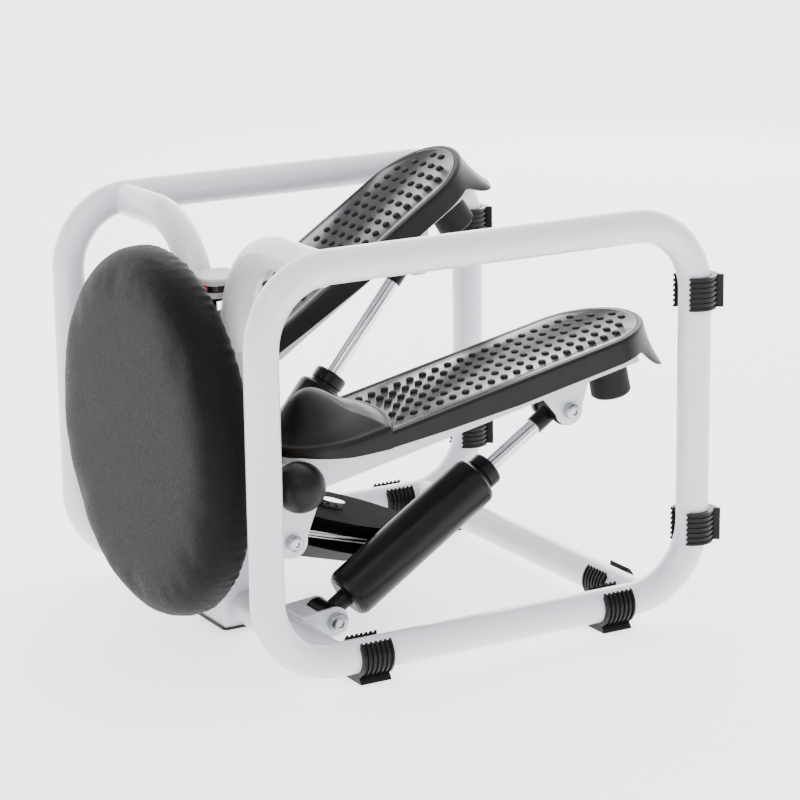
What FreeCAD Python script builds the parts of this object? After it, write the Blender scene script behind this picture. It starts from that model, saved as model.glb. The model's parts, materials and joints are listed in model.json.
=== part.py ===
"""Mini stepper whose frame stands up as a round stool.

Two side loops of round tube are joined by cross tubes and by two bridge tubes.
A centre post carries the pivot shaft, the cable sheave, the round seat and the counter.
Each pedal swings on the shaft, pushes a damper and pulls the cable round the sheave.
+Z is up, +X is the right-hand loop, and -Y is the side the seat faces. Sizes are in mm.
"""
import FreeCAD, Part
import math
import os
import re
import Sketcher

V = FreeCAD.Vector

doc = FreeCAD.newDocument("mini_stepper")
sheet = doc.addObject("Spreadsheet::Sheet", "Sizes")
size = {}


def put(name, value):
    """Write one size to the sheet under its alias."""
    row = len(size) + 1
    sheet.set("A%d" % row, name)
    sheet.set("B%d" % row, repr(round(value, 5)))
    sheet.setAlias("B%d" % row, name)
    size[name] = value


# Frame of round tube
put("tube_dia", 28.0)
put("tube_wall", 1.5)
put("frame_width", 365.0)
put("frame_depth", 406.6)
put("frame_height", 320.0)
put("corner_radius", 60.0)
put("foot_drop", 7.0)
put("front_tube_y", 60.0)
put("rear_tube_y", 354.5)
put("bridge_radius", 80.0)
put("bridge_x", 33.3)
put("bridge_end_z", 240.0)
put("drain_dia", 4.0)
# Centre post
put("post_width", 50.0)
put("post_depth", 36.0)
put("post_wall", 1.8)
put("post_y", 58.0)
put("post_low", -1.5)
put("post_top", 260.0)
# Pivot shaft and pedals
put("pivot_y", 55.0)
put("pivot_z", 147.0)
put("shaft_dia", 16.0)
put("ball_dia", 42.0)
put("ball_x", 137.0)
put("pedal_x", 101.0)
put("pedal_width", 115.0)
put("pedal_heel", 356.0)
put("pedal_toe", -2.0)
put("tread_top", 24.0)
put("skirt_low", 4.0)
put("skirt_wall", 3.0)
put("web_top", 20.5)
put("arm_width", 42.0)
put("arm_low", -15.0)
put("plate", 2.5)
put("hub_dia", 34.0)
put("bore_dia", 20.0)
put("lever_u", -10.0)
put("lever_v", -49.0)
put("ear_u", 266.0)
put("ear_v", -33.0)
put("buffer_u", 322.0)
put("tilt_right", 11.7)
put("tilt_left", 33.4)
# Dampers
put("damper_y", 95.0)
put("damper_z", 21.5)
put("damper_dia", 44.0)
put("damper_low", 22.5)
put("damper_high", 175.5)
put("collar_dia", 30.0)
put("collar_high", 190.5)
put("rod_dia", 13.5)
put("rod_reach", 182.0)
put("end_reach", 27.0)
put("barrel_width", 30.0)
put("eye_slack", 5.3)
put("bolt_dia", 8.0)
put("eye_bolt_dia", 10.0)
# Cable and sheave
put("sheave_y", 153.5)
put("sheave_z", 67.9)
put("sheave_tilt", 15.6)
put("cable_radius", 73.0)
put("cable_dia", 5.5)
put("cable_gap", 4.0)
# Seat
put("seat_radius", 158.5)
put("seat_z", 171.0)
put("seat_front", -32.0)
put("seat_back", 10.0)
put("seat_shoulder", 21.0)
# Counter
put("counter_low", 281.0)
put("counter_wide", 46.0)
put("counter_deep", 38.0)
# Clip feet
put("clip_len", 28.0)
put("base_clip_front", 90.0)
put("base_clip_rear", 323.0)
put("back_clip_high", 273.0)
put("back_clip_low", 70.0)
put("cross_clip_x", 134.0)

# Numbers that follow from the sizes
seat_reach = size["seat_front"]
rear_reach = size["frame_depth"] + size["tube_dia"] / 2 + size["foot_drop"]
put("front_y", -(rear_reach + seat_reach) / 2)
put("post_back", size["post_y"] + size["post_depth"] / 2)
put("loop_x", size["frame_width"] / 2)
put("tube_axis", size["tube_dia"] / 2)
put("top_axis", size["frame_height"] + size["tube_dia"] / 2)
put("bridge_bend_x", size["bridge_x"] + size["bridge_radius"])
put("bridge_bend_z", size["top_axis"] - size["bridge_radius"] - 2.0)
put("pedal_half", size["pedal_width"] / 2)
put("heel_centre", size["pedal_heel"] - size["pedal_half"])
put("toe_centre", size["pedal_toe"] + size["pedal_half"])
# The toe hood ends behind in an arc that bulges towards the heel
put("hood_bulge", 17.0)
put("hood_mid", 97.0)
put("hood_radius", (size["pedal_half"] ** 2 + size["hood_bulge"] ** 2) / (2 * size["hood_bulge"]))
put("hood_centre", size["hood_mid"] - size["hood_radius"])
put("mat_inset", 5.0)
put("brim_high", 31.0)
put("dome_u", 52.0)
put("dome_v", 8.0)
put("dome_high", 52.0)
put("dome_wide", 57.0)
put("dome_long", 48.0)
put("heel_flare", 12.0)
put("heel_low", -29.0)


def world_of(u, v, tilt):
    """Y and Z of a point given in a pedal's own frame."""
    a = math.radians(tilt)
    y = size["pivot_y"] + u * math.cos(a) - v * math.sin(a)
    z = size["pivot_z"] + u * math.sin(a) + v * math.cos(a)
    return y, z


for side in ("right", "left"):
    ear_y, ear_z = world_of(size["ear_u"], size["ear_v"], size["tilt_" + side])
    dy, dz = ear_y - size["damper_y"], ear_z - size["damper_z"]
    put("damper_length_" + side, math.hypot(dy, dz))
    put("damper_angle_" + side, math.degrees(math.atan2(dz, dy)))
    bolt_y, bolt_z = world_of(size["lever_u"], size["lever_v"], size["tilt_" + side])
    dy, dz = size["sheave_y"] - bolt_y, size["sheave_z"] - bolt_z
    put("cable_y_" + side, bolt_y)
    put("cable_z_" + side, bolt_z)
    put("cable_length_" + side, math.hypot(dy, dz))
    put("cable_fall_" + side, math.degrees(math.atan2(-dz, dy)))
tilt = math.radians(size["sheave_tilt"])
put("sheave_reach", (size["sheave_y"] - size["post_back"]) / math.cos(tilt))
put("sheave_skew", math.tan(tilt))
doc.recompute()


def ex(text):
    """Turn size names in a formula into sheet references."""
    def swap(match):
        word = match.group(0)
        return "Sizes." + word if word in size else word
    return re.sub(r"[a-z][a-z_]*", swap, str(text))


def number(obj, text):
    return float(obj.evalExpression(ex(text)))


def bind(obj, prop, text):
    obj.setExpression(prop, ex(text))


# ---------------------------------------------------------------- where pieces stand
FRAME = ("0", "front_y", "foot_drop", None, 1)


def pedal_place(side):
    sign = "" if side == "right" else "-"
    return (sign + "pedal_x", "front_y + pivot_y", "foot_drop + pivot_z", "tilt_" + side, 1)


def damper_place(side):
    sign = "" if side == "right" else "-"
    return (sign + "pedal_x", "front_y + damper_y", "foot_drop + damper_z", "damper_angle_" + side, 1)


def cable_place(side):
    sign = "" if side == "right" else "-"
    return (sign + "cable_radius", "front_y + cable_y_" + side,
            "foot_drop + cable_z_" + side, "cable_fall_" + side, -1)


SHEAVE = ("0", "front_y + sheave_y", "foot_drop + sheave_z", "sheave_tilt", -1)


def body(name, place):
    x, y, z, turn, sense = place
    item = doc.addObject("PartDesign::Body", name)
    item.Label = name
    item.AllowCompound = True
    turned = FreeCAD.Rotation(V(sense, 0, 0), 10.0) if turn else FreeCAD.Rotation()
    item.Placement = FreeCAD.Placement(V(0, 0, 0), turned)
    for axis, text in zip("xyz", (x, y, z)):
        bind(item, "Placement.Base." + axis, text)
    if turn:
        bind(item, "Placement.Rotation.Angle", turn)
    nodes.append(item)
    return item


nodes = []


# ---------------------------------------------------------------- sketches and features
def sketch(owner, role, offset="0"):
    """Empty sketch parallel to one of the body's planes; offset is along +X, +Y or +Z."""
    item = owner.newObject("Sketcher::SketchObject", owner.Name + "_sketch")
    base = next(o for o in owner.Origin.OriginFeatures if o.Role == role)
    item.AttachmentSupport = (base, "")
    item.MapMode = "FlatFace"
    text = "-(%s)" % offset if role == "XZ_Plane" else offset
    bind(item, "AttachmentOffset.Base.z", text)
    return item


def tie(item, kind, args, text):
    row = item.addConstraint(Sketcher.Constraint(kind, *args, number(item, text)))
    bind(item, "Constraints[%d]" % row, text)


def circle(item, x, y, *diameters):
    for diameter in diameters:
        at = V(number(item, x), number(item, y), 0)
        index = item.addGeometry(Part.Circle(at, V(0, 0, 1), number(item, diameter) / 2), False)
        tie(item, "Diameter", (index,), diameter)
        tie(item, "DistanceX", (-1, 1, index, 3), x)
        tie(item, "DistanceY", (-1, 1, index, 3), y)


def outline(item, *points):
    """Closed shape of straight sides through the given points."""
    spots = [V(number(item, x), number(item, y), 0) for x, y in points]
    first = item.GeometryCount
    count = len(points)
    for k in range(count):
        item.addGeometry(Part.LineSegment(spots[k], spots[(k + 1) % count]), False)
    for k in range(count):
        following = first + (k + 1) % count
        item.addConstraint(Sketcher.Constraint("Coincident", first + k, 2, following, 1))
    for k, (x, y) in enumerate(points):
        tie(item, "DistanceX", (-1, 1, first + k, 1), x)
        tie(item, "DistanceY", (-1, 1, first + k, 1), y)


def box(item, x0, y0, x1, y1):
    outline(item, (x0, y0), (x1, y0), (x1, y1), (x0, y1))


def slot(item, low, high, radius):
    """Two half circles about (0, low) and (0, high), joined by straight sides."""
    r, a, b = number(item, radius), number(item, low), number(item, high)
    up, out = V(0, 0, 1), []
    for y, start in ((b, 0.0), (a, math.pi)):
        ring = Part.Circle(V(0, y, 0), up, r)
        out.append(item.addGeometry(Part.ArcOfCircle(ring, start, start + math.pi), False))
    left = item.addGeometry(Part.LineSegment(V(-r, b, 0), V(-r, a, 0)), False)
    right = item.addGeometry(Part.LineSegment(V(r, a, 0), V(r, b, 0)), False)
    high_arc, low_arc = out
    item.addConstraint(Sketcher.Constraint("Tangent", high_arc, 2, left, 1))
    item.addConstraint(Sketcher.Constraint("Tangent", low_arc, 2, right, 1))
    item.addConstraint(Sketcher.Constraint("Coincident", left, 2, low_arc, 1))
    item.addConstraint(Sketcher.Constraint("Coincident", right, 2, high_arc, 1))
    for arc, y in ((high_arc, high), (low_arc, low)):
        tie(item, "DistanceY", (-1, 1, arc, 3), y)
        tie(item, "DistanceX", (-1, 1, arc, 3), "0")
        tie(item, "Radius", (arc,), radius)


def feature(kind, item, **settings):
    owner = item.getParentGeoFeatureGroup()
    made = owner.newObject("PartDesign::" + kind, owner.Name + "_" + kind.lower())
    made.Profile = item
    for key, value in settings.items():
        setattr(made, key, value)
    item.Visibility = False
    return made


def pad(item, length, both=False, back=False):
    made = feature("Pad", item, Midplane=both, Reversed=back)
    bind(made, "Length", length)
    return made


def pocket(item, length, both=False, forward=False):
    """Cut away from the sketch; forward cuts towards +X, +Z or -Y."""
    made = feature("Pocket", item, Midplane=both, Reversed=forward)
    bind(made, "Length", length)
    return made


def revolve(item, axis="V_Axis", angle=360.0, both=False):
    return feature("Revolution", item, ReferenceAxis=(item, [axis]), Angle=angle, Midplane=both)


def drawn(owner, role, offset, draw, *args):
    item = sketch(owner, role, offset)
    draw(item, *args)
    return item


def fillet(owner, radius, test):
    """Round the edges of the body's last feature that the test picks."""
    doc.recompute()
    last = owner.Tip
    names = ["Edge%d" % (k + 1) for k, edge in enumerate(last.Shape.Edges) if test(edge)]
    made = owner.newObject("PartDesign::Fillet", owner.Name + "_fillet")
    made.Base = (last, names)
    bind(made, "Radius", radius)
    last.Visibility = False
    return made


def rod(owner, role, offset, x, y, length, *diameters, both=False, back=False):
    return pad(drawn(owner, role, offset, circle, x, y, *diameters), length, both, back)


def drill(owner, role, offset, x, y, length, diameter, both=True, forward=False):
    return pocket(drawn(owner, role, offset, circle, x, y, diameter), length, both, forward)


TUBE = ("tube_dia", "tube_dia - 2 * tube_wall")
SIDES = (("right", "", 1), ("left", "-", -1))
FAR = "800"


def sweep(owner, profile, spine, kind="AdditivePipe"):
    made = feature(kind, profile)
    made.Spine = (spine, ["Edge%d" % (k + 1) for k in range(len(spine.Geometry))])
    spine.Visibility = False
    return made


# ---------------------------------------------------------------- frame
def loop_sweep(item, sign, kind, diameter):
    """Sweep a round bar along the closed line of a side loop, added or cut away."""
    x = sign + "loop_x"
    spine = sketch(item, "YZ_Plane", x)
    r = size["corner_radius"]
    y0, y1 = 0.0, size["frame_depth"]
    z0, z1 = size["tube_axis"], size["top_axis"]
    corners = ((y1 - r, z0 + r, 270), (y1 - r, z1 - r, 0), (y0 + r, z1 - r, 90), (y0 + r, z0 + r, 180))
    runs = ((y0 + r, z0, y1 - r, z0), (y1, z0 + r, y1, z1 - r),
            (y1 - r, z1, y0 + r, z1), (y0, z1 - r, y0, z0 + r))
    centres = (("frame_depth - corner_radius", "tube_axis + corner_radius"),
               ("frame_depth - corner_radius", "top_axis - corner_radius"),
               ("corner_radius", "top_axis - corner_radius"),
               ("corner_radius", "tube_axis + corner_radius"))
    for run, (cy, cz, start) in zip(runs, corners):
        a, b = V(run[0], run[1], 0), V(run[2], run[3], 0)
        spine.addGeometry(Part.LineSegment(a, b), False)
        ring = Part.Circle(V(cy, cz, 0), V(0, 0, 1), r)
        arc = Part.ArcOfCircle(ring, math.radians(start), math.radians(start + 90))
        spine.addGeometry(arc, False)
    for k in range(4):
        line, arc, following = 2 * k, 2 * k + 1, (2 * k + 2) % 8
        spine.addConstraint(Sketcher.Constraint("Tangent", line, 2, arc, 1))
        spine.addConstraint(Sketcher.Constraint("Tangent", arc, 2, following, 1))
        tie(spine, "Radius", (arc,), "corner_radius")
    tie(spine, "DistanceX", (-1, 1, 7, 3), "corner_radius")
    tie(spine, "DistanceY", (-1, 1, 7, 3), "tube_axis + corner_radius")
    tie(spine, "DistanceX", (-1, 1, 3, 3), centres[1][0])
    tie(spine, "DistanceY", (-1, 1, 3, 3), centres[1][1])
    spine.addConstraint(Sketcher.Constraint("Horizontal", 0))
    spine.addConstraint(Sketcher.Constraint("Vertical", 2))
    profile = drawn(item, "XZ_Plane", "corner_radius", circle, x, "tube_axis", diameter)
    sweep(item, profile, spine, kind)


def side_loop(side, sign):
    """Closed loop of tube standing on edge: two uprights, a floor tube and a top tube."""
    item = body("side_loop_" + side, FRAME)
    for kind, diameter in zip(("AdditivePipe", "SubtractivePipe"), TUBE):
        loop_sweep(item, sign, kind, diameter)
    # Drain hole under the front tube
    drill(item, "XY_Plane", "0", sign + "loop_x", "front_tube_y * 2", "tube_wall * 4", "drain_dia")
    return item


def cross_tube(name, y):
    """Straight tube between the floor tubes, its ends coped to fit round them."""
    item = body(name, FRAME)
    rod(item, "YZ_Plane", "0", y, "tube_axis", "frame_width", *TUBE, both=True)
    for sign in ("", "-"):
        loop_sweep(item, sign, "SubtractivePipe", "tube_dia + 0.1")
    return item


def bridge_tube(side, sign):
    """From the top of a side loop inwards, round a wide bend and down beside the post."""
    item = body("bridge_tube_" + side, FRAME)
    way = -1 if sign else 1
    spine = sketch(item, "XZ_Plane", "pivot_y")
    bend_x, bend_z = way * size["bridge_bend_x"], size["bridge_bend_z"]
    r = size["bridge_radius"]
    top = bend_z + r
    start, end = (90, 180) if way > 0 else (0, 90)
    spine.addGeometry(Part.LineSegment(V(way * size["loop_x"], top, 0), V(bend_x, top, 0)), False)
    ring = Part.Circle(V(bend_x, bend_z, 0), V(0, 0, 1), r)
    spine.addGeometry(Part.ArcOfCircle(ring, math.radians(start), math.radians(end)), False)
    inner = way * size["bridge_x"]
    spine.addGeometry(Part.LineSegment(V(inner, bend_z, 0), V(inner, size["bridge_end_z"], 0)), False)
    near, far = (1, 2) if way > 0 else (2, 1)
    spine.addConstraint(Sketcher.Constraint("Tangent", 0, 2, 1, near))
    spine.addConstraint(Sketcher.Constraint("Tangent", 1, far, 2, 1))
    tie(spine, "Radius", (1,), "bridge_radius")
    tie(spine, "DistanceX", (-1, 1, 1, 3), sign + "bridge_bend_x")
    tie(spine, "DistanceY", (-1, 1, 1, 3), "bridge_bend_z")
    tie(spine, "DistanceX", (-1, 1, 0, 1), sign + "loop_x")
    tie(spine, "DistanceY", (-1, 1, 2, 2), "bridge_end_z")
    spine.addConstraint(Sketcher.Constraint("Horizontal", 0))
    spine.addConstraint(Sketcher.Constraint("Vertical", 2))
    profile = drawn(item, "YZ_Plane", sign + "loop_x", circle, "pivot_y",
                    "bridge_bend_z + bridge_radius", *TUBE)
    sweep(item, profile, spine)
    # Coped to the loop's top tube, and to the side of the post
    loop_sweep(item, sign, "SubtractivePipe", "tube_dia + 0.1")
    post = drawn(item, "XY_Plane", "post_top", box, "-post_width / 2", "0", "post_width / 2", "post_back + 20")
    pocket(post, "post_top - bridge_end_z + 5")
    return item


for side, sign, way in SIDES:
    side_loop(side, sign)
    bridge_tube(side, sign)
cross_tube("front_cross_tube", "front_tube_y")
cross_tube("rear_cross_tube", "rear_tube_y")


# ---------------------------------------------------------------- post, shaft and brackets
def centre_post():
    """Square tube through which the shaft and the front cross tube pass."""
    item = body("centre_post", FRAME)
    face = sketch(item, "XY_Plane", "post_low")
    front = "post_y - post_depth / 2"
    box(face, "-post_width / 2", front, "post_width / 2", "post_back")
    pad(face, "post_top - post_low")

    def upright(edge):
        return edge.BoundBox.ZLength > 50
    fillet(item, "post_wall / 1.5", upright)
    inner = drawn(item, "XY_Plane", "post_low", box, "post_wall - post_width / 2", front + " + post_wall",
                  "post_width / 2 - post_wall", "post_back - post_wall")
    pocket(inner, "post_top - post_low", forward=True)
    drill(item, "YZ_Plane", "0", "pivot_y", "pivot_z", FAR, "shaft_dia")
    drill(item, "YZ_Plane", "0", "front_tube_y", "tube_axis", FAR, "tube_dia")
    return item


def post_foot():
    """Moulded cap over the lower end of the post, clear of the floor."""
    item = body("post_foot", FRAME)
    pad(drawn(item, "XY_Plane", "post_low", box, "-post_width / 2 - 2", "post_y - post_depth / 2 - 2",
              "post_width / 2 + 2", "post_back + 2"), "foot_drop / 2 + post_low", back=True)

    def upright(edge):
        return edge.BoundBox.ZLength > 1
    fillet(item, "5", upright)
    return item


def damper_bracket(side, sign, way):
    """Folded bracket on the front cross tube that holds a damper's lower eye."""
    item = body("damper_bracket_" + side, FRAME)
    x = sign + "pedal_x"
    width = "barrel_width + 7"
    pad(drawn(item, "YZ_Plane", x, outline, ("front_tube_y + 4", "3"), ("damper_y", "damper_z - 12"),
              ("damper_y", "damper_z + 12"), ("front_tube_y + 4", "damper_z + 9")), width, both=True)
    rod(item, "YZ_Plane", x, "damper_y", "damper_z", width, "24", both=True)
    pocket(drawn(item, "YZ_Plane", x, box, "damper_y - 15.5", "-5", "damper_y + 20", "60"),
           "barrel_width + 1", both=True)
    drill(item, "YZ_Plane", x, "damper_y", "damper_z", "80", "eye_bolt_dia")
    drill(item, "YZ_Plane", x, "front_tube_y", "tube_axis", "80", "tube_dia")
    return item


def bolt_across(item, x, y, z, way, dia, head, nut, reach):
    """Bolt along X through the point: dome head outside, shank, nut inside."""
    side = "+" if way > 0 else "-"
    other = "-" if way > 0 else "+"
    rod(item, "YZ_Plane", x, y, z, "2 * (%s)" % reach, dia, both=True)
    rod(item, "YZ_Plane", "%s %s (%s)" % (x, side, reach), y, z, head[1], head[0], back=way < 0)
    rod(item, "YZ_Plane", "%s %s (%s)" % (x, other, reach), y, z, nut[1], nut[0], back=way > 0)


def bracket_bolts():
    """Two bolts through the lower eyes of the dampers."""
    item = body("bracket_bolts", FRAME)
    for side, sign, way in SIDES:
        bolt_across(item, sign + "pedal_x", "damper_y", "damper_z", way, "eye_bolt_dia",
                    ("17", "6"), ("17", "7"), "barrel_width / 2 + 3.5")
    return item


def pivot_shaft():
    item = body("pivot_shaft", FRAME)
    rod(item, "YZ_Plane", "0", "pivot_y", "pivot_z", "2 * ball_x", "shaft_dia", both=True)
    return item


def shaft_cap(side, sign, way):
    """Ball end pushed over the shaft, flat where it faces the pedal arm."""
    item = body("shaft_cap_" + side, FRAME)
    flat = "pedal_x + arm_width / 2 + 2"
    face = sketch(item, "XY_Plane", "pivot_z")
    r, x = size["ball_dia"] / 2, way * size["ball_x"]
    ring = Part.Circle(V(x, size["pivot_y"], 0), V(0, 0, 1), r)
    face.addGeometry(Part.ArcOfCircle(ring, 0.0, math.pi), False)
    face.addGeometry(Part.LineSegment(V(x - r, size["pivot_y"], 0), V(x + r, size["pivot_y"], 0)), False)
    face.addConstraint(Sketcher.Constraint("Coincident", 0, 2, 1, 1))
    face.addConstraint(Sketcher.Constraint("Coincident", 0, 1, 1, 2))
    tie(face, "DistanceX", (-1, 1, 0, 3), sign + "ball_x")
    tie(face, "DistanceY", (-1, 1, 0, 3), "pivot_y")
    tie(face, "Diameter", (0,), "ball_dia")
    face.addConstraint(Sketcher.Constraint("Horizontal", 1))
    face.addConstraint(Sketcher.Constraint("PointOnObject", 0, 3, 1))
    feature("Revolution", face, ReferenceAxis=(face, ["Edge2"]), Angle=360.0)
    trim = drawn(item, "YZ_Plane", sign + "(%s)" % flat, box, "pivot_y - 40", "pivot_z - 40",
                 "pivot_y + 40", "pivot_z + 40")
    pocket(trim, "60", forward=way < 0)
    drill(item, "YZ_Plane", "0", "pivot_y", "pivot_z", "2 * ball_x", "shaft_dia")
    return item


def sheave_bracket():
    """Folded channel that leans back from the post under the sheave."""
    item = body("sheave_bracket", SHEAVE)

    def front(n):
        return "-sheave_reach - (%s) * sheave_skew" % n
    pad(drawn(item, "YZ_Plane", "0", outline, (front("-16"), "-16"), ("24", "-16"), ("24", "-22"),
              ("10", "-29"), (front("-29"), "-29")), "post_width", both=True)
    pocket(drawn(item, "YZ_Plane", "0", box, "-120", "-40", "60", "-18.5"), "post_width - 5", both=True)
    drill(item, "XY_Plane", "-30", "0", "0", "30", "12", both=False, forward=True)
    return item


def sheave_axle():
    item = body("sheave_axle", SHEAVE)
    rod(item, "XY_Plane", "-24", "0", "0", "37.3", "12")
    rod(item, "XY_Plane", "13.3", "0", "0", "5", "22")
    rod(item, "XY_Plane", "-24", "0", "0", "5.5", "19")
    return item


# ---------------------------------------------------------------- seat
def seat_bracket():
    """Plate behind the seat board on a short square tube from the post."""
    item = body("seat_bracket", FRAME)
    front = "post_y - post_depth / 2"
    pad(drawn(item, "XZ_Plane", "seat_back", box, "-65", "seat_z - 55", "65", "seat_z + 55"), "3", back=True)
    square = sketch(item, "XZ_Plane", "seat_back + 3")
    box(square, "-22", "seat_z - 28", "22", "seat_z + 28")
    box(square, "-19.5", "seat_z - 25.5", "19.5", "seat_z + 25.5")
    pad(square, front + " - seat_back - 3", back=True)
    for x in ("-50", "50"):
        for z in ("seat_z - 40", "seat_z + 40"):
            drill(item, "XZ_Plane", "seat_back", x, z, "20", "7")
    return item


def seat_bolts():
    """Four bolts from behind the bracket into the board."""
    item = body("seat_bolts", FRAME)
    for x in ("-50", "50"):
        for z in ("seat_z - 40", "seat_z + 40"):
            rod(item, "XZ_Plane", "seat_back + 3", x, z, "11", "7")
            rod(item, "XZ_Plane", "seat_back + 3", x, z, "4.5", "12.5", back=True)
    return item


def seat_board():
    item = body("seat_board", FRAME)
    rod(item, "XZ_Plane", "seat_back", "0", "seat_z", "12", "2 * seat_radius - 24")
    for x in ("-50", "50"):
        for z in ("seat_z - 40", "seat_z + 40"):
            drill(item, "XZ_Plane", "seat_back", x, z, "16", "7")
    return item


def seat_cushion():
    """Round foam pad in its cover, closed round the edge of the board."""
    item = body("seat_cushion", FRAME)
    depth = "seat_back - seat_front"
    rod(item, "XZ_Plane", "seat_back", "0", "seat_z", depth, "2 * seat_radius")

    for y, radius in (("seat_front", "seat_shoulder"), ("seat_back", "6")):
        def rim(edge, at=size[y]):
            return edge.BoundBox.YLength < 0.1 and abs(edge.BoundBox.YMin - at) < 0.1
        fillet(item, radius, rim)
    drill(item, "XZ_Plane", "seat_back", "0", "seat_z", "12", "2 * seat_radius - 24",
          both=False, forward=True)
    return item


centre_post()
post_foot()
for side, sign, way in SIDES:
    damper_bracket(side, sign, way)
    shaft_cap(side, sign, way)
bracket_bolts()
pivot_shaft()
sheave_bracket()
sheave_axle()
seat_bracket()
seat_bolts()
seat_board()
seat_cushion()


# ---------------------------------------------------------------- counter
def layer(name, low, thick, inset, corner):
    """Flat rounded block of the counter, above the post."""
    item = body(name, FRAME)
    half = "counter_wide / 2 - %s" % inset
    deep = "counter_deep / 2 - %s" % inset
    pad(drawn(item, "XY_Plane", low, box, "-(%s)" % half, "pivot_y - (%s)" % deep,
              half, "pivot_y + (%s)" % deep), thick)

    def upright(edge):
        box_of = edge.BoundBox
        return box_of.XLength < 0.01 and box_of.YLength < 0.01
    fillet(item, corner, upright)
    return item


def counter():
    """Counter between the bridge tubes: bracket, tray, dark band, cover, board and button."""
    bracket = body("counter_bracket", FRAME)
    inner = "bridge_x - tube_dia / 2 - 0.4"
    pad(drawn(bracket, "XY_Plane", "post_top", box, "-(%s)" % inner, "pivot_y - 14",
              inner, "pivot_y + 16"), "counter_low - post_top")
    pocket(drawn(bracket, "YZ_Plane", "0", box, "pivot_y - 11", "post_top - 1",
                 "pivot_y + 13", "counter_low - 3"), FAR, both=True)
    layer("counter_tray", "counter_low", "4.5", "0", "10")
    band = layer("counter_band", "counter_low + 4.5", "6", "1.5", "9")
    pocket(drawn(band, "XY_Plane", "counter_low + 6", box, "-16", "pivot_y - 13", "16", "pivot_y + 13"),
           "8", forward=True)
    drill(band, "XZ_Plane", "pivot_y - 10", "13", "counter_low + 7.7", "20", "5.2", both=False, forward=True)
    board = body("counter_board", FRAME)
    pad(drawn(board, "XY_Plane", "counter_low + 6", box, "-15.5", "pivot_y - 9", "15.5", "pivot_y + 12.5"), "1.6")
    cover = layer("counter_cover", "counter_low + 10.5", "5.5", "0", "10")

    def upper(edge):
        box_of = edge.BoundBox
        return box_of.ZLength < 0.01 and box_of.ZMin > size["counter_low"] + 15.9
    fillet(cover, "2.5", upper)
    button = body("reset_button", FRAME)
    face = "pivot_y - counter_deep / 2 + 1.5"
    rod(button, "XZ_Plane", face + " - 2.5", "13", "counter_low + 7.7", "6.5", "5", back=True)


# ---------------------------------------------------------------- clip feet
def clip(item, role, along, x, y, foot, foot_sign):
    """C-shaped clip round a tube, with ribs and a flared foot.

    x and y are the tube's centre in the sketch; foot is "x" or "y", the way the foot points.
    """
    start = "%s - clip_len / 2" % along if role != "XZ_Plane" else "%s + clip_len / 2" % along

    def away(dist, spread):
        """Corner at a distance towards the foot and a spread across it."""
        toward = "%s(%s)" % ("+" if foot_sign > 0 else "-", dist)
        if foot == "y":
            return ("%s + (%s)" % (x, spread), "%s %s" % (y, toward))
        return ("%s %s" % (x, toward), "%s + (%s)" % (y, spread))
    rod(item, role, start, x, y, "clip_len", "tube_dia + 6", "tube_dia")
    for k in range(RIBS):
        step = "%s * (clip_len - 2) / %d" % (k, RIBS - 1)
        at = "%s + %s" % (start, step) if role != "XZ_Plane" else "%s - %s" % (start, step)
        rod(item, role, at, x, y, "2", "tube_dia + 8.5", "tube_dia + 5")
    reach = "tube_dia / 2 + foot_drop"
    pad(drawn(item, role, start, outline, away("tube_dia / 2 + 1.2", "-8"), away(reach + " - 2", "-11"),
              away(reach, "-12"), away(reach, "12"), away(reach + " - 2", "11"),
              away("tube_dia / 2 + 1.2", "8")), "clip_len")
    gap = drawn(item, role, start, outline, away("-5", "-10"), away("-30", "-14"),
                away("-30", "14"), away("-5", "10"))
    pocket(gap, "clip_len", forward=True)


RIBS = 7


def clips():
    base = body("base_clips", FRAME)
    for sign in ("", "-"):
        for y in ("base_clip_front", "base_clip_rear"):
            clip(base, "XZ_Plane", y, sign + "loop_x", "tube_axis", "y", -1)
    back = body("back_clips", FRAME)
    for sign in ("", "-"):
        for z in ("back_clip_low", "back_clip_high"):
            clip(back, "XY_Plane", z, sign + "loop_x", "frame_depth", "y", 1)
        loop_sweep(back, sign, "SubtractivePipe", "tube_dia + 0.06")
    cross = body("cross_clips", FRAME)
    for sign in ("", "-"):
        clip(cross, "YZ_Plane", sign + "cross_clip_x", "rear_tube_y", "tube_axis", "y", -1)


# ---------------------------------------------------------------- sheave and cable
def sheave():
    """Grooved wheel that turns on the leaning axle."""
    item = body("sheave", SHEAVE)
    rim = "cable_radius + 3"
    floor = "cable_radius - cable_dia / 2 - 0.25"
    face = drawn(item, "XZ_Plane", "0", outline, ("bore_dia / 2", "-12"), (rim, "-12"), (rim, "-10.5"),
                 (floor, "-6.5"), (floor, "6.5"), (rim, "10.5"), (rim, "13"), ("bore_dia / 2", "13"))
    revolve(face)
    bush = body("sheave_bush", SHEAVE)
    rod(bush, "XY_Plane", "-16", "0", "0", "29.2", "bore_dia", "12.08")
    rod(bush, "XY_Plane", "-16", "0", "0", "3.9", "28", "12.08")
    wrap = body("cable_wrap", SHEAVE)
    line = drawn(wrap, "XZ_Plane", "0", circle, "cable_radius", "0", "cable_dia")
    revolve(line, angle=WRAP)
    return item


WRAP = 174.0


def cable_run(side, sign, way):
    """Straight run of cable from a lever's bolt to the sheave, with its eye and sleeve."""
    item = body("cable_run_" + side, cable_place(side))
    length = "cable_length_%s - cable_gap" % side
    rod(item, "XZ_Plane", "8", "0", "0", length + " - 8", "cable_dia", back=True)
    rod(item, "XZ_Plane", "9", "0", "0", "20", "9", back=True)
    rod(item, "YZ_Plane", "0", "0", "0", "cable_dia", "19", both=True)
    drill(item, "YZ_Plane", "0", "0", "0", "40", "bolt_dia + 0.16")
    return item


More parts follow.
